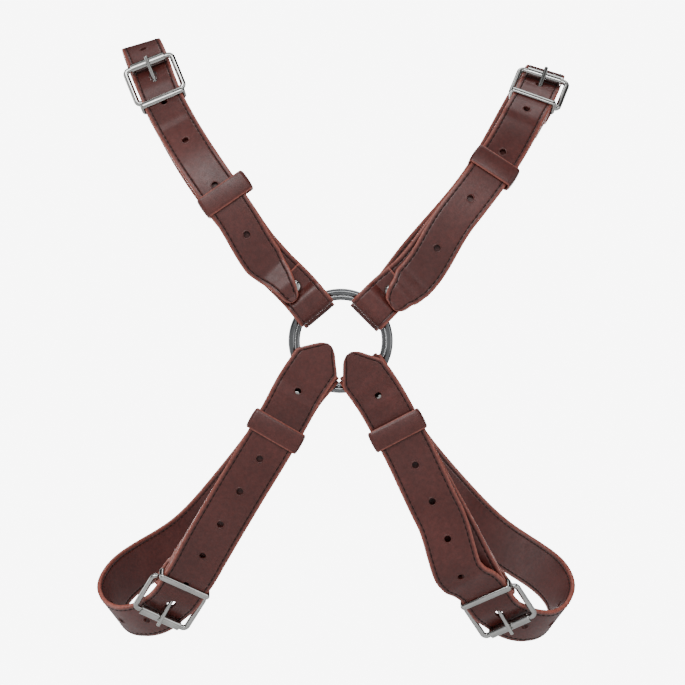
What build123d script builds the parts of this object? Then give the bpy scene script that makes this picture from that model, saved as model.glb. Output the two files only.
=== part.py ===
from build123d import *
import os
from math import cos, pi, radians, sin

# Leather X-back body harness, in the shape it has on the wearer, in millimetres.
# +Z is up, -Y is the wearer's back, +X is the right-hand side seen from behind.
# The origin is the middle of the wearer's torso, level with the two rings.

# ---- leather
LEATHER = 2.8                 # thickness of every strap
PLY_GAP = 0.3                 # air between two straps that lie on each other
LAYER = LEATHER + PLY_GAP     # step from one strap to the next above it
UPPER_WIDTH = 25.0
LOWER_WIDTH = 30.0
HOLE_RADIUS = 2.1
FRONT_HOLE_OFFSET = 0.6       # of a hole pitch, from the roller to the first hole beyond it
PRONG_HOLE_LENGTH = 9.0       # the hole in use, drawn long by the prong
PRONG_SLOT_WIDTH = 4.4
PRONG_SLOT_LENGTH = 18.0
BAND_WIDTH = 13.0             # leather keeper, along the strap
BAND_THICKNESS = 1.8
BAND_PLAY = 0.5
BAND_CLEARANCE = 0.9          # above the billet and below the buckle strap
BAND_CORNER = 1.0

# ---- rings
RING_WIRE_RADIUS = 2.1
RING_RADIUS = 29.3            # to the middle of the wire
BACK_RING_Y = -110.0
FRONT_RING_Y = 100.0
FOLD_SET_BACK = 0.3           # room for the wire where it crosses the fold aslant
FOLD_RADIUS = RING_WIRE_RADIUS + PLY_GAP + LEATHER / 2
RING_LEAD = 12.0              # every strap leaves its ring radially this far
FOLD_STRAIGHT = 7.5           # both plies stay parallel this far past the fold

# ---- buckles
WIRE_RADIUS = 1.75
UPPER_FRAME = 21.0            # bar to roller bar, along the strap
LOWER_FRAME = 24.0
FRAME_PLAY = 1.0              # strap edge to frame side
FRAME_CORNER = 2.6
ROLLER_RADIUS = 3.0
ROLLER_BORE = WIRE_RADIUS + 0.05
ROLLER_INSET = 1.5            # roller end to strap edge
BAR_HEIGHT = -(WIRE_RADIUS + PLY_GAP + LEATHER / 2)
ROLLER_HEIGHT = 2.7
PRONG_RADIUS = 1.2
PRONG_EYE_BORE = WIRE_RADIUS + 0.05
PRONG_EYE_RADIUS = 3.3
PRONG_OVERHANG = 4.0
PRONG_HOLE_AT = 11.0          # from the bar, towards the roller
LOOP_AT = 6.2                 # metal keeper, from the bar towards the ring
LOOP_WIDTH = 4.2
LOOP_THICKNESS = 1.7
LOOP_PLAY = 0.5
LOOP_CLEARANCE = 0.4          # above the billet and below the buckle strap
LOOP_CORNER = 0.6
TURN_STRAIGHT = 10.5
TURN_RIVET_AT = 20.0
TURN_END = 30.0

# ---- rivets
SHANK_RADIUS = 1.5
DOME_RADIUS = 4.1
DOME_HEIGHT = 2.3
WASHER_RADIUS = 4.0
WASHER_THICKNESS = 0.8
RIVET_CLEARANCE = 0.04
# the billet rides over the head of the buckle rivet: (distance past the bar, extra height)
RIVET_BUMP = [(-30, 0), (-25, 1.1), (-15, 1.1), (-9, 0)]

# Each arm: strap width, where things sit along the strap from the back ring's fold, and the route from
# the back ring, over the shoulder or round the flank, to the front ring. A route point is (x, y, z) of
# the buckle strap's middle, then the outward direction of the strap there. "shift" and "lift" say how
# far the punched billet strays sideways and outwards from its place on the buckle strap.
# "frame" is the roller buckle's length and "bar" the place of its bar, "band" is the leather keeper and
# "band_room" the slack in its width. "tip" is where the billet ends, tapering to "tip_width" over
# "tip_length". "rivet" and "fold_end" belong to the fold round each ring. "first_hole" is counted from
# the bar towards the back ring, "holes" lie on that side and "front_holes" beyond the roller.
BACK = (0, -1, 0)
FRONT = (0, 1, 0)
ARMS = {
    "upper_left": {
        "width": UPPER_WIDTH, "frame": UPPER_FRAME, "angle": 130,
        "bar": 172.0, "band": 86.0, "band_room": 4.0,
        "tip": 9.8, "tip_width": 8.0, "tip_length": 31.0,
        "rivet": 16.7, "fold_end": 25.0,
        "first_hole": -9.5, "hole_pitch": 34.5, "holes": 4, "front_holes": 2,
        "shift": [(9.8, 5.8), (31, 2.8), (72, 0)],
        "lift": [(9.8, 6.2), (14, 5.8), (21, 5.6), (25.5, 3.4), (34, 0.2), (40, 0)],
        "route": [
            ((-45, -108, 50), BACK),
            ((-63, -109, 75), (-0.05, -1, 0.05)),
            ((-85, -103, 107), (-0.1, -1, 0.25)),
            ((-99, -86, 129), (-0.15, -1, 0.45)),
            ((-109, -73, 148), (-0.15, -0.9, 0.45)),
            ((-118, -62, 171), (-0.2, -0.9, 0.45)),
            ((-124, -38, 184), (-0.25, -0.5, 0.9)),
            ((-125, -5, 182), (-0.3, 0.3, 1)),
            ((-113, 44, 150), (-0.25, 1, 0.7)),
            ((-88, 77, 105), (-0.15, 1, 0.3)),
            ((-50, 94, 58), (0, 1, 0.1)),
        ],
    },
    "upper_right": {
        "width": UPPER_WIDTH, "frame": UPPER_FRAME, "angle": 45,
        "bar": 180.0, "band": 114.0, "band_room": 0.5,
        "tip": 9.8, "tip_width": 12.0, "tip_length": 20.0,
        "rivet": 16.7, "fold_end": 25.0,
        "first_hole": -20.0, "hole_pitch": 35.4, "holes": 4, "front_holes": 2,
        "shift": [(9.8, -8.5), (23, -5.6), (32, -4.2), (78, 0)],
        "lift": [(9.8, 6.2), (14, 5.8), (21, 5.6), (25.5, 3.4), (34, 0.2), (40, 0)],
        "route": [
            ((41, -108, 39), BACK),
            ((59, -109, 61), (0.05, -1, 0.05)),
            ((83, -105, 92), (0.1, -1, 0.2)),
            ((101, -93, 118), (0.15, -1, 0.5)),
            ((112, -78, 137), (0.2, -0.9, 0.8)),
            ((119, -64, 149), (0.2, -0.8, 0.95)),
            ((125, -45, 163), (0.25, -0.7, 1)),
            ((129, -18, 170), (0.3, -0.15, 1)),
            ((126, 12, 166), (0.3, 0.4, 1)),
            ((113, 48, 143), (0.25, 1, 0.7)),
            ((88, 76, 101), (0.15, 1, 0.3)),
            ((46, 94, 51), (0, 1, 0.1)),
        ],
    },
    "lower_left": {
        "width": LOWER_WIDTH, "frame": LOWER_FRAME, "angle": -129.5,
        "bar": 161.0, "band": 42.0, "band_room": 0.5,
        "tip": -19.0, "tip_width": 7.0, "tip_length": 13.0,
        "rivet": 18.0, "fold_end": 24.5,
        "first_hole": -8.0, "hole_pitch": 23.0, "holes": 7, "front_holes": 3,
        "shift": [(-19, -3.3), (30, 0)],
        "lift": [(-19, 8.2), (8, 7.9), (14, 5.8), (22, 5.6), (25, 3.6), (33, 0.1), (36, 0)],
        "route": [
            ((-34, -108, -46), BACK),
            ((-56, -106, -83), (-0.05, -1, -0.05)),
            ((-76, -99, -116), (-0.05, -1, -0.25)),
            ((-95, -83, -147), (0, -0.95, -0.65)),
            ((-105, -74, -161), (0, -0.9, -0.7)),
            ((-114, -64, -170), (-0.1, -0.85, -0.75)),
            ((-130, -49, -174), (-0.4, -0.6, -0.85)),
            ((-143, -28, -168), (-0.8, -0.2, -0.65)),
            ((-143, -3, -157), (-0.95, 0.25, -0.4)),
            ((-130, 27, -145), (-0.9, 0.6, -0.2)),
            ((-103, 58, -129), (-0.6, 1, -0.1)),
            ((-73, 83, -98), (-0.25, 1, 0)),
            ((-44, 94, -60), (0, 1, 0)),
        ],
    },
    "lower_right": {
        "width": LOWER_WIDTH, "frame": LOWER_FRAME, "angle": -55,
        "bar": 162.5, "band": 39.0, "band_room": 0.5,
        "tip": -16.0, "tip_width": 8.0, "tip_length": 15.0,
        "rivet": 18.0, "fold_end": 24.5,
        "first_hole": -6.5, "hole_pitch": 23.5, "holes": 7, "front_holes": 3,
        "shift": [(-16, -0.5), (48, 0), (94, -2.0), (129, -7.0), (151, 0)],
        "lift": [(-16, 8.2), (8, 7.9), (14, 5.8), (22, 5.6), (25, 3.6), (33, 0.1), (46, 0.1),
                 (92, 4.0), (126, 7.5), (150, 0.2), (154, 0)],
        "route": [
            ((34, -108, -53), BACK),
            ((53, -106, -89), (0.05, -1, -0.05)),
            ((72, -99, -124), (0.05, -1, -0.25)),
            ((88, -84, -153), (0, -0.95, -0.65)),
            ((97, -75, -165), (0, -0.9, -0.7)),
            ((107, -64, -174), (0.1, -0.85, -0.75)),
            ((124, -49, -177), (0.4, -0.6, -0.85)),
            ((137, -28, -169), (0.8, -0.2, -0.65)),
            ((138, -3, -157), (0.95, 0.25, -0.4)),
            ((126, 27, -145), (0.9, 0.6, -0.2)),
            ((101, 58, -129), (0.6, 1, -0.1)),
            ((71, 83, -100), (0.25, 1, 0)),
            ((37, 95, -57), (0, 1, 0)),
        ],
    },
}


def smooth(value):
    """0 to 1 with level ends."""
    value = min(max(value, 0.0), 1.0)
    return value * value * (3 - 2 * value)


def profile(table, place):
    """Value at a place along the strap, eased from one (place, value) pair to the next."""
    if place <= table[0][0]:
        return table[0][1]
    for (start, low), (end, high) in zip(table, table[1:]):
        if place <= end:
            return low + (high - low) * smooth((place - start) / (end - start))
    return table[-1][1]


class Arm:
    """The route of one arm: its reference line is the middle of the buckle strap."""

    def __init__(self, data):
        self.data = data
        self.width = data["width"]
        self.frame_length = data["frame"]
        self.reach = (RING_RADIUS**2 - (self.width / 2) ** 2) ** 0.5 - FOLD_SET_BACK
        angle = radians(data["angle"])
        self.radial = Vector(cos(angle), 0, sin(angle))
        foot = self.radial * self.reach
        start = foot + Vector(0, BACK_RING_Y + FOLD_RADIUS, 0)
        end = foot + Vector(0, FRONT_RING_Y - FOLD_RADIUS, 0)
        lead = self.radial * RING_LEAD
        points = [start, start + lead] + [Vector(*place) for place, _ in data["route"]] + [end + lead, end]
        outward = [BACK, BACK] + [normal for _, normal in data["route"]] + [FRONT, FRONT]
        travel = [0.0]
        for before, after in zip(points, points[1:]):
            travel.append(travel[-1] + (after - before).length)
        shares = [distance / travel[-1] for distance in travel]
        speed = self.radial * travel[-1]
        self.line = Edge.make_spline(points, tangents=[speed, speed * -1], parameters=shares, scale=False)
        self.length = self.line.length
        self.marks = [self.line.param_at_point(point) for point in points]
        self.outward = [Vector(*normal).normalized() for normal in outward]

    def frame(self, place):
        """Point, forward, outward and across at a distance along the reference line."""
        if place < 0:
            point = self.line @ 0 + self.radial * place
            forward = self.radial
            outward = Vector(*BACK)
            return point, forward, outward, outward.cross(forward)
        share = min(place / self.length, 1.0)
        point = self.line @ share
        forward = self.line % share
        outward = self.outward[-1]
        for index in range(len(self.marks) - 1):
            if share <= self.marks[index + 1]:
                span = self.marks[index + 1] - self.marks[index]
                part = (share - self.marks[index]) / span
                outward = self.outward[index] * (1 - part) + self.outward[index + 1] * part
                break
        outward = (outward - forward * outward.dot(forward)).normalized()
        return point, forward, outward, outward.cross(forward)

    def point(self, place, height=0.0, aside=0.0):
        point, _, outward, across = self.frame(place)
        return point + outward * height + across * aside

    def across(self, place):
        return self.frame(place)[3]


def spaced(start, end, step):
    """Places from start to end, at most one step apart."""
    count = max(2, int(abs(end - start) / step) + 1)
    return [start + (end - start) * index / count for index in range(count + 1)]


def turn(centre, forward, outward, radius, steps=6):
    """Points of a half turn, from the inner side round the forward end to the outer side."""
    points = []
    for index in range(1, steps):
        angle = pi * index / steps
        points.append(centre + forward * (radius * sin(angle)) - outward * (radius * cos(angle)))
    return points


def strap_solid(stations):
    """One strap as a loft through rectangles: each station is (point, across, width)."""
    count = len(stations)
    with BuildPart() as strap:
        for index, (point, across, width) in enumerate(stations):
            before = stations[max(index - 1, 0)][0]
            after = stations[min(index + 1, count - 1)][0]
            along = (after - before).normalized()
            level = (across - along * across.dot(along)).normalized()
            with BuildSketch(Plane(origin=point, x_dir=level, z_dir=along)):
                Rectangle(width, LEATHER)
        loft(ruled=True)
    return strap.part


def ring_fold_height(arm, place):
    """Height of the turned-over ply above the main ply, near a ring."""
    wide = 2 * FOLD_RADIUS
    return profile([(FOLD_STRAIGHT, wide), (arm.data["rivet"] - DOME_RADIUS, LAYER)], place)


def buckle_fold_height(distance):
    """Height of the turned-under ply below the main ply, at a distance from the buckle's bar."""
    wide = 2 * BAR_HEIGHT
    closed = TURN_RIVET_AT - WASHER_RADIUS
    return profile([(TURN_STRAIGHT, wide), (closed, -LAYER), (TURN_END, -LAYER)], distance)


def billet_height(arm, place):
    """Height of the billet above the reference line: over the buckle strap, then down under the roller."""
    after_bar = place - arm.data["bar"]
    if after_bar > 3:
        under_roller = ROLLER_HEIGHT - ROLLER_RADIUS - 2 * PLY_GAP - LEATHER / 2
        table = [(3, LAYER), (arm.frame_length, under_roller), (arm.frame_length + 5, under_roller), (70, 0)]
        return profile(table, after_bar)
    over_rivet = profile(RIVET_BUMP, after_bar)
    return LAYER + profile(arm.data["lift"], place) + over_rivet


def billet_shift(arm, place):
    return profile(arm.data["shift"], place)


def buckle_strap_stations(arm):
    """From the turned-over end at the ring, round the wire, along the back, round the bar, and under."""
    bar = arm.data["bar"]
    stations = []
    for place in spaced(arm.data["fold_end"], 0.0, 2.5):
        stations.append((arm.point(place, ring_fold_height(arm, place)), arm.across(place), arm.width))
    start, forward, outward, across = arm.frame(0.0)
    for point in reversed(turn(start + outward * FOLD_RADIUS, forward * -1, outward, FOLD_RADIUS)):
        stations.append((point, across, arm.width))
    for place in spaced(0.0, bar, 7.0):
        stations.append((arm.point(place), arm.across(place), arm.width))
    end, forward, outward, across = arm.frame(bar)
    for point in reversed(turn(end + outward * BAR_HEIGHT, forward, outward, -BAR_HEIGHT)):
        stations.append((point, across, arm.width))
    for distance in spaced(0.0, TURN_END, 3.0):
        place = bar - distance
        stations.append((arm.point(place, buckle_fold_height(distance)), arm.across(place), arm.width))
    return stations


def make_buckle_strap(arm):
    bar = arm.data["bar"]
    _, forward, outward, across = arm.frame(bar)
    blank = strap_solid(buckle_strap_stations(arm))
    with BuildPart() as strap:
        add(blank)
        with BuildSketch(Plane(origin=arm.point(bar), x_dir=forward, z_dir=outward)):
            SlotOverall(PRONG_SLOT_LENGTH, PRONG_SLOT_WIDTH)
        extrude(amount=4 * LAYER, both=True, mode=Mode.SUBTRACT)
        for place in (arm.data["rivet"], bar - TURN_RIVET_AT):
            _, forward, outward, across = arm.frame(place)
            with BuildSketch(Plane(origin=arm.point(place), x_dir=forward, z_dir=outward)):
                Circle(SHANK_RADIUS + RIVET_CLEARANCE)
            extrude(amount=2 * LAYER, both=True, mode=Mode.SUBTRACT)
    return strap.part


def tip_width(arm, distance):
    """Width of the billet at a distance from its tip: a straight taper with a rounded end."""
    end = arm.data["tip_width"]
    taper = min(1.0, distance / arm.data["tip_length"])
    rounding = min(1.0, (distance + 0.3) / (end / 2))
    return (end + (arm.width - end) * taper) * (1 - (1 - rounding) ** 2) ** 0.5


def billet_point(arm, place):
    return arm.point(place, billet_height(arm, place), billet_shift(arm, place))


def billet_stations(arm):
    """From the tip, over the buckle strap, under the roller, to the front ring and back on itself."""
    tip = arm.data["tip"]
    full = tip + arm.data["tip_length"]
    fold = arm.length
    stations = []
    for place in spaced(tip, tip + arm.data["tip_width"] / 2, 0.8):
        stations.append((billet_point(arm, place), arm.across(place), tip_width(arm, place - tip)))
    for place in spaced(tip + arm.data["tip_width"] / 2, full, 4.0)[1:]:
        stations.append((billet_point(arm, place), arm.across(place), tip_width(arm, place - tip)))
    for place in spaced(full, fold, 5.0)[1:]:
        stations.append((billet_point(arm, place), arm.across(place), arm.width))
    end, forward, outward, across = arm.frame(fold)
    for point in turn(end + outward * FOLD_RADIUS, forward, outward, FOLD_RADIUS):
        stations.append((point, across, arm.width))
    for distance in spaced(0.0, arm.data["fold_end"], 2.5):
        place = fold - distance
        stations.append((arm.point(place, ring_fold_height(arm, distance)), arm.across(place), arm.width))
    return stations


def hole_plane(arm, place):
    """A plane square to the billet at a place, its X along the billet."""
    before = billet_point(arm, place - 1)
    after = billet_point(arm, place + 1)
    along = (after - before).normalized()
    across = arm.across(place)
    return Plane(origin=billet_point(arm, place), x_dir=along, z_dir=along.cross(across))


def make_billet(arm):
    data = arm.data
    pitch = data["hole_pitch"]
    first = data["bar"] + data["first_hole"]
    free_holes = [first - index * pitch for index in range(data["holes"])]
    front = data["bar"] + arm.frame_length
    free_holes += [front + pitch * (index + FRONT_HOLE_OFFSET) for index in range(data["front_holes"])]
    blank = strap_solid(billet_stations(arm))
    with BuildPart() as billet:
        add(blank)
        for place in free_holes:
            with BuildSketch(hole_plane(arm, place)):
                Circle(HOLE_RADIUS)
            extrude(amount=LEATHER, both=True, mode=Mode.SUBTRACT)
        with BuildSketch(hole_plane(arm, data["bar"] + PRONG_HOLE_AT)):
            SlotOverall(PRONG_HOLE_LENGTH, 2 * HOLE_RADIUS)
        extrude(amount=LEATHER + 1, both=True, mode=Mode.SUBTRACT)
        place = arm.length - arm.data["rivet"]
        _, forward, outward, across = arm.frame(place)
        with BuildSketch(Plane(origin=arm.point(place), x_dir=forward, z_dir=outward)):
            Circle(SHANK_RADIUS + RIVET_CLEARANCE)
        extrude(amount=2 * LAYER, both=True, mode=Mode.SUBTRACT)
    return billet.part


def make_rivet(arm, place, bottom, top, dome_up):
    """A tubular rivet: dome on one face, flat washer on the other, shank through both plies."""
    point, forward, outward, _ = arm.frame(place)
    if not dome_up:
        outward = outward * -1
        bottom, top = -top, -bottom
    with BuildPart() as rivet:
        with BuildSketch(Plane(origin=point + outward * bottom, x_dir=forward, z_dir=outward)):
            Circle(SHANK_RADIUS)
        extrude(amount=top - bottom)
        with BuildSketch(Plane(origin=point + outward * bottom, x_dir=forward, z_dir=outward)):
            Circle(WASHER_RADIUS)
        extrude(amount=-WASHER_THICKNESS)
        with BuildSketch(Plane(origin=point + outward * top, x_dir=forward, z_dir=outward)):
            Circle(DOME_RADIUS)
        extrude(amount=DOME_HEIGHT)
        crown = point + outward * (top + DOME_HEIGHT)
        fillet(rivet.faces().sort_by_distance(crown)[0].edges(), DOME_HEIGHT * 0.9)
    return rivet.part


def make_ring(y):
    with BuildPart() as ring:
        with BuildSketch(Plane.XY.offset(0)):
            with Locations((RING_RADIUS, y)):
                Circle(RING_WIRE_RADIUS)
        revolve(axis=Axis((0, y, 0), (0, 1, 0)), revolution_arc=360)
    return ring.part


def bar_to_roller(arm):
    """Vector from the strap's bar to the roller's bar, square to both."""
    bar = arm.data["bar"]
    across = arm.across(bar)
    reach = arm.point(bar + arm.frame_length, ROLLER_HEIGHT) - arm.point(bar, BAR_HEIGHT)
    return reach - across * reach.dot(across)


def buckle_plane(arm):
    """Plane through the buckle's two bars: origin on the strap's bar, X towards the roller."""
    bar = arm.data["bar"]
    along = bar_to_roller(arm).normalized()
    return Plane(origin=arm.point(bar, BAR_HEIGHT), x_dir=along, z_dir=along.cross(arm.across(bar)))


def bar_distance(arm):
    return bar_to_roller(arm).length


def make_frame(arm):
    """Round wire bent to a rectangle, the strap's bar at one end and the roller's at the other."""
    plane = buckle_plane(arm)
    reach = bar_distance(arm)
    side = arm.width / 2 + FRAME_PLAY + WIRE_RADIUS
    corners = [(0, -side), (reach, -side), (reach, side), (0, side)]
    with BuildPart() as frame:
        with BuildLine(plane) as path:
            FilletPolyline(*corners, radius=FRAME_CORNER, close=True)
        start = path.line @ 0
        with BuildSketch(Plane(origin=start, z_dir=path.line % 0)):
            Circle(WIRE_RADIUS)
        sweep(path=path.line)
    return frame.part


def make_roller(arm):
    plane = buckle_plane(arm)
    centre = plane.origin + plane.x_dir * bar_distance(arm)
    with BuildPart() as roller:
        with BuildSketch(Plane(origin=centre, x_dir=plane.x_dir, z_dir=plane.y_dir)):
            Circle(ROLLER_RADIUS)
            Circle(ROLLER_BORE, mode=Mode.SUBTRACT)
        extrude(amount=arm.width / 2 - ROLLER_INSET, both=True)
        chamfer(roller.edges().filter_by(GeomType.CIRCLE).group_by(SortBy.RADIUS)[-1], 0.3)
    return roller.part


def make_prong(arm):
    """Wire prong: an eye round the strap's bar, a straight shank resting on the roller."""
    plane = buckle_plane(arm)
    reach = bar_distance(arm)
    over_roller = ROLLER_RADIUS + PRONG_RADIUS + 0.1
    slope = Vector(reach, 0, over_roller).normalized()
    start = plane.from_local_coords(slope * (PRONG_EYE_RADIUS - 0.6))
    tip = plane.from_local_coords(slope * (reach + PRONG_OVERHANG))
    with BuildPart() as prong:
        with BuildSketch(Plane(origin=plane.origin, x_dir=plane.x_dir, z_dir=plane.y_dir)):
            Circle(PRONG_EYE_RADIUS)
            Circle(PRONG_EYE_BORE, mode=Mode.SUBTRACT)
        extrude(amount=PRONG_RADIUS, both=True)
        with BuildSketch(Plane(origin=start, x_dir=plane.y_dir, z_dir=tip - start)):
            Circle(PRONG_RADIUS)
        extrude(amount=(tip - start).length)
        fillet(prong.faces().sort_by_distance(tip)[0].edges(), PRONG_RADIUS * 0.6)
    return prong.part


def make_loop(arm, place, length, thickness, play, bottom, top, room, corner):
    """A flat loop round the straps: the metal keeper or the leather one."""
    point, forward, outward, across = arm.frame(place)
    half = arm.width / 2 + play
    middle = (top + bottom) / 2
    width = 2 * half + room
    height = top - bottom
    with BuildPart() as loop:
        with BuildSketch(Plane(origin=point, x_dir=across, z_dir=forward)):
            with Locations((-room / 2, middle)):
                RectangleRounded(width + 2 * thickness, height + 2 * thickness, corner + thickness)
                RectangleRounded(width, height, corner, mode=Mode.SUBTRACT)
        extrude(amount=length / 2, both=True)
    return loop.part


def make_metal_keeper(arm):
    place = arm.data["bar"] - LOOP_AT
    top = billet_height(arm, place) + LEATHER / 2 + LOOP_CLEARANCE
    bottom = -LEATHER / 2 - LOOP_CLEARANCE
    return make_loop(arm, place, LOOP_WIDTH, LOOP_THICKNESS, LOOP_PLAY, bottom, top, 0, LOOP_CORNER)


def make_leather_keeper(arm):
    place = arm.data["band"]
    top = billet_height(arm, place) + LEATHER / 2 + BAND_CLEARANCE
    bottom = -LEATHER / 2 - BAND_CLEARANCE
    room = arm.data["band_room"]
    return make_loop(arm, place, BAND_WIDTH, BAND_THICKNESS, BAND_PLAY, bottom, top, room, BAND_CORNER)


def write(part, name):
    part.label = name
    export_step(part, f"parts/{name}.step")


def main():
    os.makedirs("parts", exist_ok=True)
    arms = {name: Arm(data) for name, data in ARMS.items()}
    for name, arm in arms.items():
        write(make_buckle_strap(arm), f"{name}_buckle_strap")
        write(make_billet(arm), f"{name}_billet")
        write(make_frame(arm), f"{name}_buckle_frame")
        write(make_roller(arm), f"{name}_roller")
        write(make_prong(arm), f"{name}_prong")
        write(make_metal_keeper(arm), f"{name}_metal_keeper")
        write(make_leather_keeper(arm), f"{name}_leather_keeper")
    write(make_ring(BACK_RING_Y), "back_ring")
    write(make_ring(FRONT_RING_Y), "front_ring")
    half = LEATHER / 2
    back = []
    buckle = []
    front = []
    for arm in arms.values():
        fold_rivet = arm.data["rivet"]
        turn_rivet = arm.data["bar"] - TURN_RIVET_AT
        back.append(make_rivet(arm, fold_rivet, -half, LAYER + half, True))
        buckle.append(make_rivet(arm, turn_rivet, -LAYER - half, half, False))
        front.append(make_rivet(arm, arm.length - fold_rivet, -half, LAYER + half, True))
    write(Compound(children=back), "back_ring_rivets")
    write(Compound(children=buckle), "buckle_rivets")
    write(Compound(children=front), "front_ring_rivets")


if __name__ == "__main__":
    main()
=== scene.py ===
import math

import bpy
import numpy as np
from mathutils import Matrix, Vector


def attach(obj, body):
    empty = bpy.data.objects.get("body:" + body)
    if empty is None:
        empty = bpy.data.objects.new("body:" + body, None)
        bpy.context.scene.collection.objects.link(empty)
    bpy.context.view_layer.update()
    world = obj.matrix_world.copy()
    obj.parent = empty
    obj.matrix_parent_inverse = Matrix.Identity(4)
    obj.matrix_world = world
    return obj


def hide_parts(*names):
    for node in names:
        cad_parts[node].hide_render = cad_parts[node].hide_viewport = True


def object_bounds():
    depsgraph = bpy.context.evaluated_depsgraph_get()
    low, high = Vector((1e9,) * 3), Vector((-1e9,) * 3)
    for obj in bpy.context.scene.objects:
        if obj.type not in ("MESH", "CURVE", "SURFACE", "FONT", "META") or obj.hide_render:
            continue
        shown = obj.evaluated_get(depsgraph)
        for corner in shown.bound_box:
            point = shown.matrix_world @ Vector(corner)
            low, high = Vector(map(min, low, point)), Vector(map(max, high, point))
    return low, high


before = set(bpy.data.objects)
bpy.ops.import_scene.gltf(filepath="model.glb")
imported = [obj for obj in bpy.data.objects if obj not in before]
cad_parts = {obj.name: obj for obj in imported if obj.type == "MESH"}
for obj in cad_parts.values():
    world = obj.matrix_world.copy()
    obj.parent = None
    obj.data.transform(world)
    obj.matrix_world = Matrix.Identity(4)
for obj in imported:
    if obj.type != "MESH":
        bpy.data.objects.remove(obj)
CAD_LOW, CAD_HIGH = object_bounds()

# All sizes are in millimetres, as in the part, and become metres when a mesh is made.
MM = 0.001

# ---- straps
LEATHER = 2.8
PLY_GAP = 0.3
LAYER = LEATHER + PLY_GAP
UPPER_WIDTH = 25.0
LOWER_WIDTH = 30.0
HOLE_RADIUS = 2.1
# The hole in use is cut this much wider than in the part, and twice this longer. It is not a feature of
# the real strap: without it the rounded visual strap touches the prong at its upper limit.
PRONG_ROOM = 0.6
HALVES_APART = 0.001          # a round hole is cut as two half circles, whose ends may not coincide
FRONT_HOLE_OFFSET = 0.6       # of a hole pitch, from the roller to the first hole beyond it
PRONG_HOLE_LENGTH = 9.0
PRONG_HOLE_AT = 11.0
PRONG_SLOT_WIDTH = 4.4
PRONG_SLOT_LENGTH = 18.0
BAND_WIDTH = 13.0
BAND_THICKNESS = 1.8
BAND_PLAY = 0.5
BAND_CLEARANCE = 0.9
BAND_CORNER = 1.0
BAND_CROWN = 0.5

# ---- rings, buckles and rivets
RING_RADIUS = 29.3
BACK_RING_Y = -110.0
FRONT_RING_Y = 100.0
FOLD_SET_BACK = 0.3
FOLD_RADIUS = 3.8
RING_LEAD = 12.0
FOLD_STRAIGHT = 7.5
UPPER_FRAME = 21.0
LOWER_FRAME = 24.0
ROLLER_RADIUS = 3.0
ROLLER_HEIGHT = 2.7
BAR_HEIGHT = -3.45
LOOP_AT = 6.2
LOOP_WIDTH = 4.2
LOOP_THICKNESS = 1.7
LOOP_PLAY = 0.5
LOOP_CLEARANCE = 0.4
LOOP_CORNER = 0.6
LOOP_CROWN = 1.0
TURN_STRAIGHT = 10.5
TURN_RIVET_AT = 20.0
TURN_END = 30.0
WASHER_RADIUS = 4.0
DOME_RADIUS = 4.1
RIVET_BUMP = [(-30, 0), (-25, 1.1), (-15, 1.1), (-9, 0)]

# ---- stitching and leather surface
STITCH_INSET = 2.8
STITCH_PITCH = 3.9
STITCH_LENGTH = 3.1
THREAD_RADIUS = 0.48
GROOVE_DEPTH = 0.3
GROOVE_HALF_WIDTH = 0.4
GROOVE_BANK = 0.9             # from the groove out to the raised strip along the edge
CROWN_START = 1.1             # from the groove in to the raised middle
CROWN_FULL = 4.0
RIM_OUT = 0.35                # the raised ring round a punched hole, out from the hole's edge
RIM_WIDTH = 0.42
RIM_HEIGHT = 0.26
RIM_SINK = 0.05
ROW_START = 4.0               # from the ring fold to the buckle strap's first stitches
ROW_MARGIN = 3.0              # from the last stitches to the prong's slot
FOLD_ROW_MARGIN = 5.0         # from the turned-over ply's stitches to the fold
EDGE_RADIUS = 0.85
CROWN = 0.03

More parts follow.
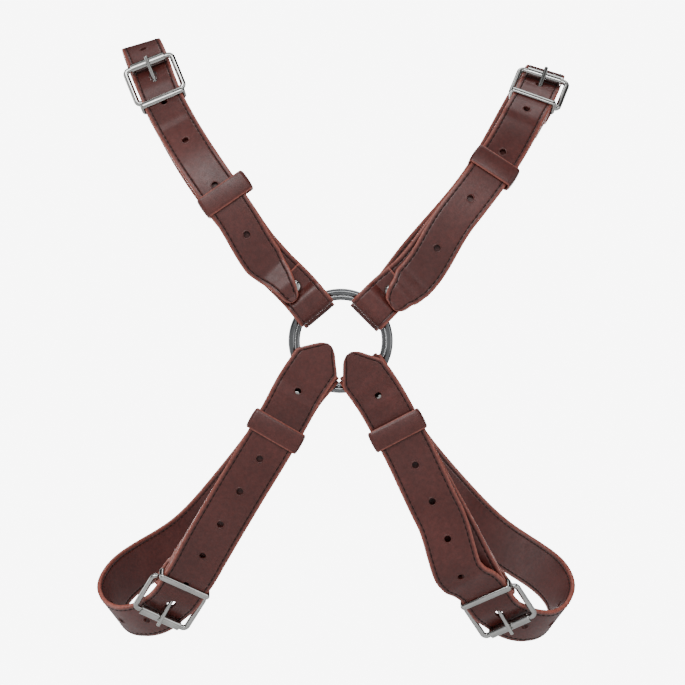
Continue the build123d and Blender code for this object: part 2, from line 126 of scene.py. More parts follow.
# Each arm: strap width, where things sit along the strap from the back ring's fold, and the route from
# the back ring, over the shoulder or round the flank, to the front ring. A route point is (x, y, z) of
# the buckle strap's middle, then the outward direction of the strap there. "shift" and "lift" say how
# far the punched billet strays sideways and outwards from its place on the buckle strap.
# "frame" is the roller buckle's length and "bar" the place of its bar, "band" is the leather keeper and
# "band_room" the slack in its width. "tip" is where the billet ends, tapering to "tip_width" over
# "tip_length". "rivet" and "fold_end" belong to the fold round each ring. "first_hole" is counted from
# the bar towards the back ring, "holes" lie on that side and "front_holes" beyond the roller.
BACK = (0, -1, 0)
FRONT = (0, 1, 0)
ARMS = {
    "upper_left": {
        "width": UPPER_WIDTH, "frame": UPPER_FRAME, "angle": 130,
        "bar": 172.0, "band": 86.0, "band_room": 4.0,
        "tip": 9.8, "tip_width": 8.0, "tip_length": 31.0,
        "rivet": 16.7, "fold_end": 25.0,
        "first_hole": -9.5, "hole_pitch": 34.5, "holes": 4, "front_holes": 2,
        "shift": [(9.8, 5.8), (31, 2.8), (72, 0)],
        "lift": [(9.8, 6.2), (14, 5.8), (21, 5.6), (25.5, 3.4), (34, 0.2), (40, 0)],
        "route": [
            ((-45, -108, 50), BACK),
            ((-63, -109, 75), (-0.05, -1, 0.05)),
            ((-85, -103, 107), (-0.1, -1, 0.25)),
            ((-99, -86, 129), (-0.15, -1, 0.45)),
            ((-109, -73, 148), (-0.15, -0.9, 0.45)),
            ((-118, -62, 171), (-0.2, -0.9, 0.45)),
            ((-124, -38, 184), (-0.25, -0.5, 0.9)),
            ((-125, -5, 182), (-0.3, 0.3, 1)),
            ((-113, 44, 150), (-0.25, 1, 0.7)),
            ((-88, 77, 105), (-0.15, 1, 0.3)),
            ((-50, 94, 58), (0, 1, 0.1)),
        ],
    },
    "upper_right": {
        "width": UPPER_WIDTH, "frame": UPPER_FRAME, "angle": 45,
        "bar": 180.0, "band": 114.0, "band_room": 0.5,
        "tip": 9.8, "tip_width": 12.0, "tip_length": 20.0,
        "rivet": 16.7, "fold_end": 25.0,
        "first_hole": -20.0, "hole_pitch": 35.4, "holes": 4, "front_holes": 2,
        "shift": [(9.8, -8.5), (23, -5.6), (32, -4.2), (78, 0)],
        "lift": [(9.8, 6.2), (14, 5.8), (21, 5.6), (25.5, 3.4), (34, 0.2), (40, 0)],
        "route": [
            ((41, -108, 39), BACK),
            ((59, -109, 61), (0.05, -1, 0.05)),
            ((83, -105, 92), (0.1, -1, 0.2)),
            ((101, -93, 118), (0.15, -1, 0.5)),
            ((112, -78, 137), (0.2, -0.9, 0.8)),
            ((119, -64, 149), (0.2, -0.8, 0.95)),
            ((125, -45, 163), (0.25, -0.7, 1)),
            ((129, -18, 170), (0.3, -0.15, 1)),
            ((126, 12, 166), (0.3, 0.4, 1)),
            ((113, 48, 143), (0.25, 1, 0.7)),
            ((88, 76, 101), (0.15, 1, 0.3)),
            ((46, 94, 51), (0, 1, 0.1)),
        ],
    },
    "lower_left": {
        "width": LOWER_WIDTH, "frame": LOWER_FRAME, "angle": -129.5,
        "bar": 161.0, "band": 42.0, "band_room": 0.5,
        "tip": -19.0, "tip_width": 7.0, "tip_length": 13.0,
        "rivet": 18.0, "fold_end": 24.5,
        "first_hole": -8.0, "hole_pitch": 23.0, "holes": 7, "front_holes": 3,
        "shift": [(-19, -3.3), (30, 0)],
        "lift": [(-19, 8.2), (8, 7.9), (14, 5.8), (22, 5.6), (25, 3.6), (33, 0.1), (36, 0)],
        "route": [
            ((-34, -108, -46), BACK),
            ((-56, -106, -83), (-0.05, -1, -0.05)),
            ((-76, -99, -116), (-0.05, -1, -0.25)),
            ((-95, -83, -147), (0, -0.95, -0.65)),
            ((-105, -74, -161), (0, -0.9, -0.7)),
            ((-114, -64, -170), (-0.1, -0.85, -0.75)),
            ((-130, -49, -174), (-0.4, -0.6, -0.85)),
            ((-143, -28, -168), (-0.8, -0.2, -0.65)),
            ((-143, -3, -157), (-0.95, 0.25, -0.4)),
            ((-130, 27, -145), (-0.9, 0.6, -0.2)),
            ((-103, 58, -129), (-0.6, 1, -0.1)),
            ((-73, 83, -98), (-0.25, 1, 0)),
            ((-44, 94, -60), (0, 1, 0)),
        ],
    },
    "lower_right": {
        "width": LOWER_WIDTH, "frame": LOWER_FRAME, "angle": -55,
        "bar": 162.5, "band": 39.0, "band_room": 0.5,
        "tip": -16.0, "tip_width": 8.0, "tip_length": 15.0,
        "rivet": 18.0, "fold_end": 24.5,
        "first_hole": -6.5, "hole_pitch": 23.5, "holes": 7, "front_holes": 3,
        "shift": [(-16, -0.5), (48, 0), (94, -2.0), (129, -7.0), (151, 0)],
        "lift": [(-16, 8.2), (8, 7.9), (14, 5.8), (22, 5.6), (25, 3.6), (33, 0.1), (46, 0.1),
                 (92, 4.0), (126, 7.5), (150, 0.2), (154, 0)],
        "route": [
            ((34, -108, -53), BACK),
            ((53, -106, -89), (0.05, -1, -0.05)),
            ((72, -99, -124), (0.05, -1, -0.25)),
            ((88, -84, -153), (0, -0.95, -0.65)),
            ((97, -75, -165), (0, -0.9, -0.7)),
            ((107, -64, -174), (0.1, -0.85, -0.75)),
            ((124, -49, -177), (0.4, -0.6, -0.85)),
            ((137, -28, -169), (0.8, -0.2, -0.65)),
            ((138, -3, -157), (0.95, 0.25, -0.4)),
            ((126, 27, -145), (0.9, 0.6, -0.2)),
            ((101, 58, -129), (0.6, 1, -0.1)),
            ((71, 83, -100), (0.25, 1, 0)),
            ((37, 95, -57), (0, 1, 0)),
        ],
    },
}


def smooth(value):
    """0 to 1 with level ends."""
    value = min(max(value, 0.0), 1.0)
    return value * value * (3 - 2 * value)


def profile(table, place):
    """Value at a place along the strap, eased from one (place, value) pair to the next."""
    if place <= table[0][0]:
        return table[0][1]
    for (start, low), (end, high) in zip(table, table[1:]):
        if place <= end:
            return low + (high - low) * smooth((place - start) / (end - start))
    return table[-1][1]


def unit(vector):
    return vector / np.linalg.norm(vector)


class Arm:
    """The same route as the part's: a clamped cubic spline through the route points."""

    def __init__(self, data):
        self.data = data
        self.width = data["width"]
        self.frame_length = data["frame"]
        reach = (RING_RADIUS**2 - (self.width / 2) ** 2) ** 0.5 - FOLD_SET_BACK
        angle = math.radians(data["angle"])
        self.radial = np.array([math.cos(angle), 0, math.sin(angle)])
        start = self.radial * reach + [0, BACK_RING_Y + FOLD_RADIUS, 0]
        end = self.radial * reach + [0, FRONT_RING_Y - FOLD_RADIUS, 0]
        lead = self.radial * RING_LEAD
        route = [np.array(place, float) for place, _ in data["route"]]
        self.points = np.array([start, start + lead] + route + [end + lead, end])
        outward = [BACK, BACK] + [normal for _, normal in data["route"]] + [FRONT, FRONT]
        self.outward = [unit(np.array(normal, float)) for normal in outward]
        self.knots = np.append(0.0, np.cumsum(np.linalg.norm(np.diff(self.points, axis=0), axis=1)))
        self.slopes = self.solve_slopes()
        self.fine = np.linspace(0, self.knots[-1], 4001)
        steps = np.linalg.norm(np.diff(np.array([self.at(t)[0] for t in self.fine]), axis=0), axis=1)
        self.travel = np.append(0.0, np.cumsum(steps))
        self.length = self.travel[-1]
        self.marks = np.interp(self.knots, self.fine, self.travel)

    def solve_slopes(self):
        """Slopes at the knots that keep the curvature continuous, with the end slopes given."""
        count = len(self.knots)
        gaps = np.diff(self.knots)
        matrix = np.zeros((count, count))
        right = np.zeros((count, 3))
        matrix[0, 0] = matrix[-1, -1] = 1
        right[0] = self.radial
        right[-1] = -self.radial
        for index in range(1, count - 1):
            before, after = gaps[index - 1], gaps[index]
            matrix[index, index - 1] = 1 / before
            matrix[index, index] = 2 / before + 2 / after
            matrix[index, index + 1] = 1 / after
            rise_before = (self.points[index] - self.points[index - 1]) / before**2
            rise_after = (self.points[index + 1] - self.points[index]) / after**2
            right[index] = 3 * (rise_before + rise_after)
        return np.linalg.solve(matrix, right)

    def at(self, t):
        """Point and direction of the spline at a knot value."""
        index = min(max(int(np.searchsorted(self.knots, t)) - 1, 0), len(self.knots) - 2)
        gap = self.knots[index + 1] - self.knots[index]
        u = (t - self.knots[index]) / gap
        first, last = self.points[index], self.points[index + 1]
        leave, arrive = self.slopes[index] * gap, self.slopes[index + 1] * gap
        point = ((2 * u**3 - 3 * u**2 + 1) * first + (u**3 - 2 * u**2 + u) * leave
                 + (3 * u**2 - 2 * u**3) * last + (u**3 - u**2) * arrive)
        slope = ((6 * u**2 - 6 * u) * (first - last) + (3 * u**2 - 4 * u + 1) * leave
                 + (3 * u**2 - 2 * u) * arrive)
        return point, slope

    def frame(self, place):
        """Point, forward, outward and across at a distance along the reference line."""
        if place < 0:
            outward = np.array(BACK, float)
            point = self.points[0] + self.radial * place
            return point, self.radial, outward, np.cross(outward, self.radial)
        place = min(place, self.length)
        point, slope = self.at(np.interp(place, self.travel, self.fine))
        forward = unit(slope)
        index = min(max(int(np.searchsorted(self.marks, place)) - 1, 0), len(self.marks) - 2)
        part = (place - self.marks[index]) / (self.marks[index + 1] - self.marks[index])
        outward = self.outward[index] * (1 - part) + self.outward[index + 1] * part
        outward = unit(outward - forward * outward.dot(forward))
        return point, forward, outward, np.cross(outward, forward)

    def point(self, place, height=0.0, aside=0.0):
        point, _, outward, across = self.frame(place)
        return point + outward * height + across * aside

    def across(self, place):
        return self.frame(place)[3]


def spaced(start, end, step):
    """Places from start to end, at most one step apart."""
    count = max(2, int(abs(end - start) / step) + 1)
    return [start + (end - start) * index / count for index in range(count + 1)]


def turn(centre, forward, outward, radius, steps=12):
    """Points of a half turn, from the inner side round the forward end to the outer side."""
    points = []
    for index in range(1, steps):
        angle = math.pi * index / steps
        points.append(centre + forward * (radius * math.sin(angle)) - outward * (radius * math.cos(angle)))
    return points


def ring_fold_height(arm, place):
    """Height of the turned-over ply above the main ply, near a ring."""
    return profile([(FOLD_STRAIGHT, 2 * FOLD_RADIUS), (arm.data["rivet"] - DOME_RADIUS, LAYER)], place)


def buckle_fold_height(distance):
    """Height of the turned-under ply below the main ply, at a distance from the buckle's bar."""
    closed = TURN_RIVET_AT - WASHER_RADIUS
    return profile([(TURN_STRAIGHT, 2 * BAR_HEIGHT), (closed, -LAYER), (TURN_END, -LAYER)], distance)


def billet_height(arm, place):
    """Height of the billet above the reference line: over the buckle strap, then down under the roller."""
    after_bar = place - arm.data["bar"]
    if after_bar > 3:
        under_roller = ROLLER_HEIGHT - ROLLER_RADIUS - 2 * PLY_GAP - LEATHER / 2
        table = [(3, LAYER), (arm.frame_length, under_roller), (arm.frame_length + 5, under_roller), (70, 0)]
        return profile(table, after_bar)
    return LAYER + profile(arm.data["lift"], place) + profile(RIVET_BUMP, after_bar)


def billet_point(arm, place):
    return arm.point(place, billet_height(arm, place), profile(arm.data["shift"], place))


def tip_width(arm, distance):
    """Width of the billet at a distance from its tip: a straight taper with a rounded end."""
    end = arm.data["tip_width"]
    taper = min(1.0, distance / arm.data["tip_length"])
    rounding = min(1.0, (distance + 0.3) / (end / 2))
    return (end + (arm.width - end) * taper) * (1 - (1 - rounding) ** 2) ** 0.5


# ---------------------------------------------------------------- straps as ribbons
class Ribbon:
    """A strap's middle line with its sideways and outward directions, width and place on the route."""

    def __init__(self, stations):
        points = np.array([station[0] for station in stations])
        across = np.array([station[1] for station in stations])
        self.width = np.array([station[2] for station in stations])
        self.place = np.array([station[3] for station in stations])
        along = np.gradient(points, axis=0)
        along /= np.linalg.norm(along, axis=1)[:, None]
        across -= along * np.sum(across * along, axis=1)[:, None]
        across /= np.linalg.norm(across, axis=1)[:, None]
        self.points, self.along, self.across = points, along, across
        self.normal = np.cross(along, across)
        steps = np.linalg.norm(np.diff(points, axis=0), axis=1)
        self.travel = np.append(0.0, np.cumsum(steps))
        self.length = self.travel[-1]

    def pick(self, values, travel):
        if values.ndim == 1:
            return np.interp(travel, self.travel, values)
        return np.array([np.interp(travel, self.travel, column) for column in values.T]).T

    def point(self, travel, aside, height):
        spot = self.pick(self.points, travel)
        return spot + self.pick(self.across, travel) * aside + self.pick(self.normal, travel) * height


def buckle_strap_ribbon(arm):
    """From the turned-over end at the ring, round the wire, along the back, round the bar, and under."""
    bar = arm.data["bar"]
    stations = []
    for place in spaced(arm.data["fold_end"], 0.0, 1.2):
        point = arm.point(place, ring_fold_height(arm, place))
        stations.append((point, arm.across(place), arm.width, -place))
    start, forward, outward, across = arm.frame(0.0)
    for point in reversed(turn(start + outward * FOLD_RADIUS, -forward, outward, FOLD_RADIUS)):
        stations.append((point, across, arm.width, 0.0))
    for place in spaced(0.0, bar, 2.0):
        stations.append((arm.point(place), arm.across(place), arm.width, place))
    end, forward, outward, across = arm.frame(bar)
    for point in reversed(turn(end + outward * BAR_HEIGHT, forward, outward, -BAR_HEIGHT)):
        stations.append((point, across, arm.width, bar))
    for distance in spaced(0.0, TURN_END, 1.5):
        point = arm.point(bar - distance, buckle_fold_height(distance))
        stations.append((point, arm.across(bar - distance), arm.width, bar + distance))
    return Ribbon(stations)


def billet_ribbon(arm):
    """From the tip, over the buckle strap, under the roller, to the front ring and back on itself."""
    tip = arm.data["tip"]
    rounded = tip + arm.data["tip_width"] / 2
    stations = []
    for place in spaced(tip, rounded, 0.4) + spaced(rounded, arm.length, 2.0)[1:]:
        width = tip_width(arm, place - tip)
        stations.append((billet_point(arm, place), arm.across(place), width, place))
    end, forward, outward, across = arm.frame(arm.length)
    for point in turn(end + outward * FOLD_RADIUS, forward, outward, FOLD_RADIUS):
        stations.append((point, across, arm.width, arm.length))
    for distance in spaced(0.0, arm.data["fold_end"], 1.2):
        point = arm.point(arm.length - distance, ring_fold_height(arm, distance))
        stations.append((point, arm.across(arm.length - distance), arm.width, arm.length + distance))
    return Ribbon(stations)


def strap_outline():
    """Half of the strap's section: (inset from the edge, height, raw edge 1, painted shade in the stitch
    groove -1).
    """
    top = LEATHER / 2
    half = [(0.0, 0.0, 1.0)]
    for angle in (0, 30, 60, 90):
        turned = math.radians(angle)
        inset = EDGE_RADIUS * (1 - math.cos(turned))
        half.append((inset, top - EDGE_RADIUS * (1 - math.sin(turned)), 1.0 - angle / 180))
    half.append((STITCH_INSET - GROOVE_BANK, top + CROWN / 2, 0.0))
    half.append((STITCH_INSET - GROOVE_HALF_WIDTH, top, 0.0))
    # the groove's bottom is marked -1: painted shade, which the leather material darkens
    half.append((STITCH_INSET, top - GROOVE_DEPTH, -1.0))
    half.append((STITCH_INSET + GROOVE_HALF_WIDTH, top, 0.0))
    half.append((STITCH_INSET + CROWN_START, top + CROWN, 0.0))
    half.append((STITCH_INSET + CROWN_FULL, top + CROWN, 0.0))
    return half


def strap_section(width):
    """The whole section as (aside, height, edge), once round: outer face, then inner face."""
    half = strap_outline()
    inset = np.array([spot[0] for spot in half])
    limit = width / 2 * 0.96
    inset = inset * min(1.0, limit / inset[-1])
    height = np.array([spot[1] for spot in half])
    edge = np.array([spot[2] for spot in half])
    left = np.stack([-width / 2 + inset, height, edge], axis=1)
    right = np.stack([width / 2 - inset, height, edge], axis=1)[::-1]
    outer = np.concatenate([left, right])
    inner = outer[::-1][1:-1] * [1, -1, 1]
    return np.concatenate([outer, inner])


def make_mesh(name, vertices, faces, edge=None):
    """A mesh object in metres, with the raw-edge amount and the painted groove shade (values below 0) kept
    on its points.
    """
    mesh = bpy.data.meshes.new(name)
    mesh.from_pydata([tuple(vertex) for vertex in np.asarray(vertices) * MM], [], faces)
    shown = mesh.attributes.new("edge", "FLOAT", "POINT")
    values = np.ones(len(mesh.vertices), np.float32) if edge is None else np.asarray(edge, np.float32)
    shown.data.foreach_set("value", values)
    mesh.validate()
    mesh.update()
    piece = bpy.data.objects.new(name, mesh)
    bpy.context.scene.collection.objects.link(piece)
    return piece


def tube_faces(rings, around, closed):
    """Quads between rings of points, with end caps unless the rings close on themselves."""
    faces = []
    for ring in range(rings if closed else rings - 1):
        here, there = ring * around, (ring + 1) % rings * around
        for spot in range(around):
            after = (spot + 1) % around
            faces.append((here + spot, here + after, there + after, there + spot))
    if not closed:
        faces.append(tuple(reversed(range(around))))
        faces.append(tuple((rings - 1) * around + spot for spot in range(around)))
    return faces


def strap_mesh(name, ribbon):
    vertices, edge = [], []
    for index, width in enumerate(ribbon.width):
        section = strap_section(width)
        for aside, height, shown in section:
            sideways = ribbon.across[index] * aside
            vertices.append(ribbon.points[index] + sideways + ribbon.normal[index] * height)
            edge.append(shown)
    around = len(vertices) // len(ribbon.width)
    for end in (slice(0, around), slice(-around, None)):
        edge[end] = [1.0] * around
    return make_mesh(name, vertices, tube_faces(len(ribbon.width), around, False), edge)


def slot_cutter(centre, along, across, normal, length, width, depth):
    """Points and faces of a round-ended prism to cut a hole with."""
    steps = 14
    vertices = []
    for side in (-depth, depth):
        for end in (1, -1):
            for index in range(steps + 1):
                angle = math.pi * index / steps - math.pi / 2
                x = end * ((length - width) / 2 + width / 2 * math.cos(angle))
                y = end * width / 2 * math.sin(angle)
                vertices.append(centre + along * x + across * y + normal * side)
    return vertices, tube_faces(2, 2 * steps + 2, False)


def cut(piece, cutters):
    """Cuts all the prisms out of the piece and keeps the result as its mesh."""
    vertices, faces = [], []
    for points, quads in cutters:
        faces += [tuple(len(vertices) + corner for corner in quad) for quad in quads]
        vertices += points
    cutter = make_mesh(piece.name + "_cutter", vertices, faces)
    modifier = piece.modifiers.new("holes", "BOOLEAN")
    modifier.object = cutter
    modifier.solver = "EXACT"
    bpy.context.view_layer.update()
    graph = bpy.context.evaluated_depsgraph_get()
    result = bpy.data.meshes.new_from_object(piece.evaluated_get(graph))
    piece.modifiers.clear()
    old = piece.data
    piece.data = result
    result.name = piece.name
    bpy.data.meshes.remove(old)
    bpy.data.objects.remove(cutter)


def hole_rim(ribbon, travel, length):
    """The slightly raised leather round a punched hole, on the outer face."""
    steps, sides = 28, 6
    vertices = []
    reach = HOLE_RADIUS + RIM_OUT
    for index in range(steps):
        angle = 2 * math.pi * index / steps
        stretch = (length / 2 - HOLE_RADIUS) * (1 if math.cos(angle) > 0 else -1)
        for side in range(sides):
            turned = 2 * math.pi * side / sides
            out = reach + RIM_WIDTH * math.cos(turned)
            place = travel + stretch + out * math.cos(angle)
            height = LEATHER / 2 + CROWN - RIM_SINK + RIM_HEIGHT * math.sin(turned)
            vertices.append(ribbon.point(place, out * math.sin(angle), height))
    return vertices, tube_faces(steps, sides, True)


def stitch_row(ribbon, start, end, side):
    """One row of stitches: out along one edge, across the start end, and back along the other edge."""
    inside = np.linspace(start, end, max(4, int((end - start) / 1.5)))
    half = np.maximum(ribbon.pick(ribbon.width, inside) / 2 - STITCH_INSET, 0.2)
    travel = np.concatenate([inside[::-1], inside])
    aside = np.concatenate([half[::-1], -half])
    row = np.array([ribbon.point(t, a, 0.0) for t, a in zip(travel, aside)])
    gone = np.append(0.0, np.cumsum(np.linalg.norm(np.diff(row, axis=0), axis=1)))
    count = int(gone[-1] / STITCH_PITCH)
    sink = LEATHER / 2 - GROOVE_DEPTH
    vertices, faces = [], []
    sides = 6
    # one stitch from end to end: (place along it, thickness, how far it rises), as shares
    shape = [(-0.5, 0.05, -0.3), (-0.4, 0.7, 0.05), (0.0, 1.0, 0.3), (0.4, 0.7, 0.05), (0.5, 0.05, -0.3)]
    for index in range(count):
        middle = (index + 0.5) * gone[-1] / count
        stitch = []
        for share, thick, raised in shape:
            at = middle + share * STITCH_LENGTH
            t = np.interp(at, gone, travel)
            a = np.interp(at, gone, aside)
            for spoke in range(sides):
                turned = 2 * math.pi * spoke / sides
                swing = THREAD_RADIUS * thick * math.cos(turned)
                rise = sink + raised * THREAD_RADIUS + THREAD_RADIUS * thick * math.sin(turned)
                stitch.append(ribbon.point(t, a + swing, side * rise))
        first = len(vertices)
        faces += [tuple(first + corner for corner in quad) for quad in tube_faces(len(shape), sides, False)]
        vertices += stitch
    return vertices, faces


# ---------------------------------------------------------------- keepers
def loop_mesh(name, arm, place, length, thickness, play, clearance, room, corner, crown):
    """A band round the straps: a rounded section swept round a rounded rectangle."""
    point, forward, outward, across = arm.frame(place)
    top = billet_height(arm, place) + LEATHER / 2 + clearance
    bottom = -LEATHER / 2 - clearance
    wide = arm.width + 2 * play + room
    centre = point + across * (-room / 2) + outward * ((top + bottom) / 2)
    half_wide, half_high = wide / 2 - corner, (top - bottom) / 2 - corner
    path = []
    for quarter in range(4):
        side_x = 1 if quarter in (0, 3) else -1
        side_y = 1 if quarter in (0, 1) else -1
        for step in range(7):
            angle = math.pi / 2 * (quarter + step / 6)
            direction = np.array([math.cos(angle), math.sin(angle)])
            path.append((np.array([side_x * half_wide, side_y * half_high]), direction))
    section = band_section(length, thickness, crown)
    vertices, edge = [], []
    for base, direction in path:
        for aside, height, shown in section:
            spot = base + direction * (corner + height)
            vertices.append(centre + across * spot[0] + outward * spot[1] + forward * aside)
            edge.append(shown)
    return make_mesh(name, vertices, tube_faces(len(path), len(section), True), edge)


def band_section(length, thickness, crown):
    """Section of a band as (along, height, edge): inner face flat, outer face crowned."""
    radius = thickness * 0.3
    half = length / 2
    section = [(-half + radius, 0.0, 0.5), (half - radius, 0.0, 0.5), (half, radius, 1.0)]
    steps = 12
    for index in range(steps + 1):
        share = 1 - 2 * index / steps
        rise = thickness - crown + crown * (1 - share**2)
        inset = radius * max(0.0, abs(share) * steps / 2 - (steps / 2 - 1))
        rise -= inset
        section.append((half * share, rise, 0.7 if inset else 0.0))
    section.append((-half, radius, 1.0))
    return section


# ---------------------------------------------------------------- materials
def new_material(name):
    material = bpy.data.materials.new(name)
    material.use_nodes = True
    return material, material.node_tree, material.node_tree.nodes["Principled BSDF"]


def add_node(tree, kind, **values):
    node = tree.nodes.new(kind)
    for socket, value in values.items():
        node.inputs[socket.replace("_", " ")].default_value = value
    return node


def noise(tree, scale, detail=4.0, roughness=0.55):
    place = tree.nodes.new("ShaderNodeTexCoord")
    node = add_node(tree, "ShaderNodeTexNoise", Scale=scale, Detail=detail, Roughness=roughness)
    tree.links.new(place.outputs["Object"], node.inputs["Vector"])
    return node.outputs["Fac"]


def ramp(tree, value, stops):
    node = tree.nodes.new("ShaderNodeValToRGB")
    while len(node.color_ramp.elements) < len(stops):
        node.color_ramp.elements.new(0.5)
    for element, (position, color) in zip(node.color_ramp.elements, stops):
        element.position = position
        element.color = (*color, 1.0)
    tree.links.new(value, node.inputs["Fac"])
    return node.outputs["Color"]


def mix_color(tree, share, first, second, blend="MIX"):
    node = tree.nodes.new("ShaderNodeMix")
    node.data_type = "RGBA"
    node.blend_type = blend
    for socket, value in (("Factor", share), ("A", first), ("B", second)):
        kind = "VALUE" if socket == "Factor" else "RGBA"
        target = [entry for entry in node.inputs if entry.name == socket and entry.type == kind][0]
        if hasattr(value, "is_linked"):
            tree.links.new(value, target)
        else:
            target.default_value = value
    return [entry for entry in node.outputs if entry.type == "RGBA"][0]


def scaled(tree, value, low, high):
    node = add_node(tree, "ShaderNodeMapRange", From_Min=0.3, From_Max=0.7, To_Min=low, To_Max=high)
    tree.links.new(value, node.inputs["Value"])
    return node.outputs["Result"]


def bump(tree, shader, heights):
    """Chains one bump per (height, strength, distance in metres)."""
    last = None
    for height, strength, distance in heights:
        node = add_node(tree, "ShaderNodeBump", Strength=strength, Distance=distance)
        tree.links.new(height, node.inputs["Height"])
        if last:
            tree.links.new(last, node.inputs["Normal"])
        last = node.outputs["Normal"]
    tree.links.new(last, shader.inputs["Normal"])


def leather_material():
    material, tree, shader = new_material("leather")
    broad = noise(tree, 28.0)
    fine = noise(tree, 420.0, detail=6.0)
    pores = noise(tree, 1500.0, detail=3.0)
    wrinkles = noise(tree, 160.0, detail=5.0, roughness=0.7)
    ground = ramp(tree, broad, [(0.3, (0.050, 0.0090, 0.0068)), (0.55, (0.067, 0.0135, 0.0105)),
                                (0.75, (0.088, 0.0205, 0.0165))])
    speck = ramp(tree, fine, [(0.35, (0.80, 0.78, 0.78)), (0.65, (1.12, 1.12, 1.12))])
    face = mix_color(tree, 1.0, ground, speck, "MULTIPLY")
    raw = ramp(tree, noise(tree, 600.0), [(0.3, (0.20, 0.050, 0.036)), (0.7, (0.38, 0.120, 0.088))])
    shown = tree.nodes.new("ShaderNodeAttribute")
    shown.attribute_name = "edge"
    # painted shade in the stitch groove: where the edge attribute falls to -1, the leather colour is
    # multiplied down to 0.35
    painted_groove_shade = add_node(tree, "ShaderNodeMapRange", From_Min=-1.0, From_Max=0.0, To_Min=0.35, To_Max=1.0)
    tree.links.new(shown.outputs["Fac"], painted_groove_shade.inputs["Value"])
    face = mix_color(tree, 1.0, face, painted_groove_shade.outputs["Result"], "MULTIPLY")
    tree.links.new(mix_color(tree, shown.outputs["Fac"], face, raw), shader.inputs["Base Color"])
    tree.links.new(scaled(tree, wrinkles, 0.34, 0.50), shader.inputs["Roughness"])
    shader.inputs["Specular IOR Level"].default_value = 0.36
    shader.inputs["Coat Weight"].default_value = 0.12
    shader.inputs["Coat Tint"].default_value = (1.0, 0.86, 0.88, 1.0)
    shader.inputs["Coat Roughness"].default_value = 0.35
    bump(tree, shader, [(wrinkles, 0.35, 0.0003), (pores, 0.35, 0.00012)])
    return material


def thread_material():
    material, tree, shader = new_material("thread")
    fibres = noise(tree, 2500.0)
    color = ramp(tree, fibres, [(0.3, (0.005, 0.0025, 0.0025)), (0.7, (0.020, 0.010, 0.009))])
    tree.links.new(color, shader.inputs["Base Color"])
    tree.links.new(scaled(tree, fibres, 0.55, 0.75), shader.inputs["Roughness"])
    shader.inputs["Specular IOR Level"].default_value = 0.2
    bump(tree, shader, [(fibres, 0.5, 0.0001)])
    return material


def metal_material(name, dark, light, smooth_low, smooth_high, scratch):
    material, tree, shader = new_material(name)
    cloud = noise(tree, 90.0)
    tree.links.new(ramp(tree, cloud, [(0.3, dark), (0.7, light)]), shader.inputs["Base Color"])
    tree.links.new(scaled(tree, noise(tree, 300.0), smooth_low, smooth_high), shader.inputs["Roughness"])
    shader.inputs["Metallic"].default_value = 1.0
    bump(tree, shader, [(noise(tree, 900.0, detail=6.0), scratch, 0.00004)])
    return material


def paper_material():
    material, tree, shader = new_material("pale_floor")
    color = ramp(tree, noise(tree, 6.0), [(0.3, (0.86, 0.86, 0.86)), (0.7, (0.90, 0.90, 0.90))])
    tree.links.new(color, shader.inputs["Base Color"])
    shader.inputs["Roughness"].default_value = 0.9
    return material


def dress(piece, materials):
    piece.data.materials.clear()
    for material in materials:
        piece.data.materials.append(material)


def soften(piece, degrees=38):
    """Smooth shading, kept sharp where faces meet at more than this angle."""
    piece.data.shade_smooth()
    piece.data.set_sharp_from_angle(angle=math.radians(degrees))


# ---------------------------------------------------------------- the pieces
LEATHER_LOOK = leather_material()
THREAD_LOOK = thread_material()
NICKEL = metal_material("nickel", (0.33, 0.33, 0.32), (0.45, 0.45, 0.44), 0.07, 0.13, 0.08)
RING_STEEL = metal_material("ring_steel", (0.11, 0.114, 0.118), (0.17, 0.174, 0.178), 0.13, 0.21, 0.08)


def add_extras(piece, extras, material_index):
    """Joins small meshes, such as stitches and hole rims, to a strap under one of its materials."""
    vertices, faces = [], []
    for points, quads in extras:
        faces += [tuple(len(vertices) + corner for corner in quad) for quad in quads]
        vertices += points
    extra = make_mesh(piece.name + "_extra", vertices, faces, [0.0] * len(vertices))
    dress(extra, [LEATHER_LOOK, THREAD_LOOK])
    extra.data.polygons.foreach_set("material_index", [material_index] * len(extra.data.polygons))
    soften(extra, 80)
    with bpy.context.temp_override(active_object=piece, selected_editable_objects=[piece, extra]):
        bpy.ops.object.join()


def build_buckle_strap(name, arm):
    ribbon = buckle_strap_ribbon(arm)
    piece = strap_mesh(name + "_leather", ribbon)
    bar = arm.data["bar"]
    point, forward, outward, across = arm.frame(bar)
    slot = slot_cutter(point, forward, across, outward, PRONG_SLOT_LENGTH, PRONG_SLOT_WIDTH, 4 * LAYER)
    cut(piece, [slot])
    dress(piece, [LEATHER_LOOK, THREAD_LOOK])
    soften(piece)
    fold = ribbon.travel[np.searchsorted(ribbon.place, 0.0)]
    start = np.interp(ROW_START, ribbon.place, ribbon.travel)
    end = np.interp(bar - PRONG_SLOT_LENGTH / 2 - ROW_MARGIN, ribbon.place, ribbon.travel)
    rows = [stitch_row(ribbon, start, end, 1), stitch_row(ribbon, start, end, -1)]
    rows.append(stitch_row(ribbon, STITCH_INSET, fold - FOLD_ROW_MARGIN, -1))
    add_extras(piece, rows, 1)
    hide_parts(name)
    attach(piece, "straps")


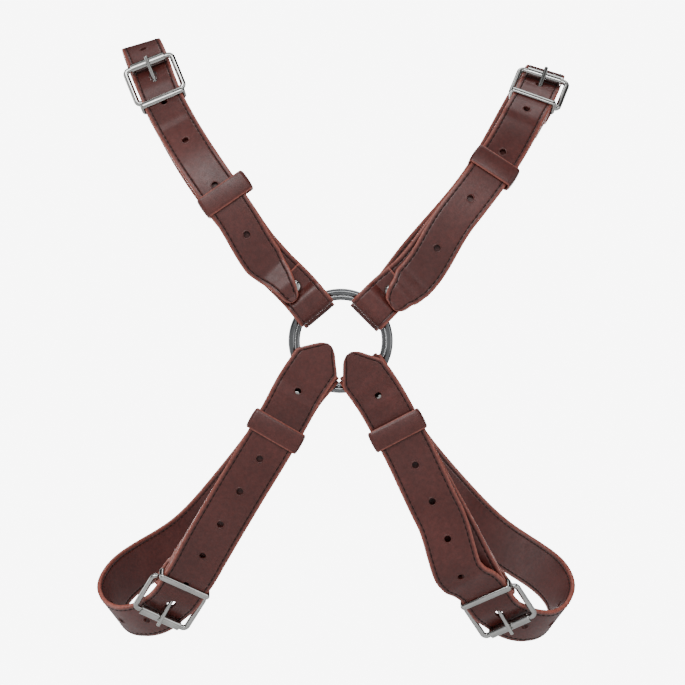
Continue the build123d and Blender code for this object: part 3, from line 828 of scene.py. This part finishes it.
def build_billet(name, arm):
    data = arm.data
    ribbon = billet_ribbon(arm)
    piece = strap_mesh(name + "_leather", ribbon)
    first = data["bar"] + data["first_hole"]
    front = data["bar"] + arm.frame_length
    pitch = data["hole_pitch"]
    places = [(first - index * pitch, 2 * HOLE_RADIUS) for index in range(data["holes"])]
    for index in range(data["front_holes"]):
        places.append((front + pitch * (index + FRONT_HOLE_OFFSET), 2 * HOLE_RADIUS))
    places.append((data["bar"] + PRONG_HOLE_AT, PRONG_HOLE_LENGTH))
    cutters, rims = [], []
    for place, length in places:
        travel = np.interp(place, ribbon.place, ribbon.travel)
        along, across = unit(ribbon.pick(ribbon.along, travel)), unit(ribbon.pick(ribbon.across, travel))
        centre = ribbon.point(travel, 0.0, 0.0)
        normal = np.cross(along, across)
        room = PRONG_ROOM if length == PRONG_HOLE_LENGTH else HALVES_APART
        wide = 2 * HOLE_RADIUS + room
        cutters.append(slot_cutter(centre, along, across, normal, length + 2 * room, wide, LEATHER))
        if length < PRONG_HOLE_LENGTH:
            rims.append(hole_rim(ribbon, travel, length))
    cut(piece, cutters)
    dress(piece, [LEATHER_LOOK, THREAD_LOOK])
    soften(piece)
    end = np.interp(arm.length - data["rivet"] - WASHER_RADIUS, ribbon.place, ribbon.travel)
    start = STITCH_INSET
    add_extras(piece, [stitch_row(ribbon, start, end, 1), stitch_row(ribbon, start, end, -1)], 1)
    add_extras(piece, rims, 0)
    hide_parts(name)
    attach(piece, "straps")


for arm_name, arm_data in ARMS.items():
    arm = Arm(arm_data)
    build_buckle_strap(arm_name + "_buckle_strap", arm)
    build_billet(arm_name + "_billet", arm)
    keeper = arm_name + "_leather_keeper"
    band = loop_mesh(keeper + "_band", arm, arm_data["band"], BAND_WIDTH, BAND_THICKNESS, BAND_PLAY,
                     BAND_CLEARANCE, arm_data["band_room"], BAND_CORNER, BAND_CROWN)
    dress(band, [LEATHER_LOOK])
    soften(band)
    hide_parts(keeper)
    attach(band, keeper)
    keeper = arm_name + "_metal_keeper"
    loop = loop_mesh(keeper + "_loop", arm, arm_data["bar"] - LOOP_AT, LOOP_WIDTH, LOOP_THICKNESS, LOOP_PLAY,
                     LOOP_CLEARANCE, 0.0, LOOP_CORNER, LOOP_CROWN)
    dress(loop, [NICKEL])
    soften(loop)
    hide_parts(keeper)
    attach(loop, keeper)

for node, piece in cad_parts.items():
    if "buckle_frame" in node or "roller" in node or "prong" in node or "rivets" in node:
        dress(piece, [NICKEL])
    if node in ("back_ring", "front_ring"):
        dress(piece, [RING_STEEL])

# ---------------------------------------------------------------- studio
FLOOR_DROP = 0.27
FLOOR_RADIUS = 1.9
floor_steps = 96
floor_z = (CAD_LOW.z - FLOOR_DROP) / MM
rim = [(FLOOR_RADIUS / MM * math.cos(2 * math.pi * i / floor_steps),
        FLOOR_RADIUS / MM * math.sin(2 * math.pi * i / floor_steps), floor_z) for i in range(floor_steps)]
floor = make_mesh("floor", rim, [tuple(range(floor_steps))])
floor.data.materials.append(paper_material())


def area_light(name, place, target, size, power):
    data = bpy.data.lights.new(name, "AREA")
    data.shape = "RECTANGLE"
    data.size, data.size_y = size
    data.energy = power
    light = bpy.data.objects.new(name, data)
    light.location = place
    aim = Vector(target) - Vector(place)
    light.rotation_euler = aim.to_track_quat("-Z", "Y").to_euler()
    bpy.context.scene.collection.objects.link(light)


area_light("key", (-0.9, -1.3, 1.1), (0, 0, 0), (0.9, 0.9), 14.0)
area_light("fill", (1.3, -1.1, 0.35), (0, 0, 0), (0.7, 1.3), 5.0)
area_light("sheen", (-0.12, -1.42, 0.74), (0, -0.11, 0.1), (1.1, 0.4), 12.0)
area_light("rim_left", (-1.3, 0.2, 0.2), (0, 0, 0), (0.5, 1.5), 6.0)
area_light("top", (0.1, 0.2, 1.5), (0, 0, 0), (1.4, 0.8), 10.0)

SIDE_GLOW = 0.8               # all round
BACKDROP_GLOW = 8.0           # straight behind the harness, as the camera sees it
world = bpy.data.worlds.new("studio")
bpy.context.scene.world = world
world.use_nodes = True
sky = world.node_tree
direction = sky.nodes.new("ShaderNodeTexCoord")
split = sky.nodes.new("ShaderNodeSeparateXYZ")
sky.links.new(direction.outputs["Generated"], split.inputs["Vector"])
height = add_node(sky, "ShaderNodeMath")
height.operation = "MAXIMUM"
height.inputs[1].default_value = 0.0
sky.links.new(split.outputs["Z"], height.inputs[0])
# by height: white at and below the horizon, a dark belt for the metal to mirror, pale overhead
belts = [(0.0, 1.0), (0.14, 1.0), (0.24, 0.05), (0.72, 0.05), (0.85, 0.6)]
shade = ramp(sky, height.outputs[0], [(place, (grey, grey, grey)) for place, grey in belts])
sky.links.new(shade, sky.nodes["Background"].inputs["Color"])
glow = add_node(sky, "ShaderNodeMapRange", From_Min=0.93, From_Max=0.985,
                To_Min=SIDE_GLOW, To_Max=BACKDROP_GLOW)
sky.links.new(split.outputs["Y"], glow.inputs["Value"])
sky.links.new(glow.outputs["Result"], sky.nodes["Background"].inputs["Strength"])

# The camera stands square behind the harness, level with the back ring.
CAMERA_DISTANCE = 1.9
SENSOR = 36.0
WIDTH_AT_RING = 0.411
CAMERA_X = 0.0011
CAMERA_Z = -0.0010
camera_data = bpy.data.cameras.new("camera")
camera_data.sensor_width = SENSOR
camera_data.lens = SENSOR * CAMERA_DISTANCE / WIDTH_AT_RING
camera_data.clip_start, camera_data.clip_end = 0.05, 20.0
camera = bpy.data.objects.new("camera", camera_data)
camera.location = (CAMERA_X, BACK_RING_Y * MM - CAMERA_DISTANCE, CAMERA_Z)
camera.rotation_euler = (math.radians(90), 0, 0)
bpy.context.scene.collection.objects.link(camera)
bpy.context.scene.camera = camera
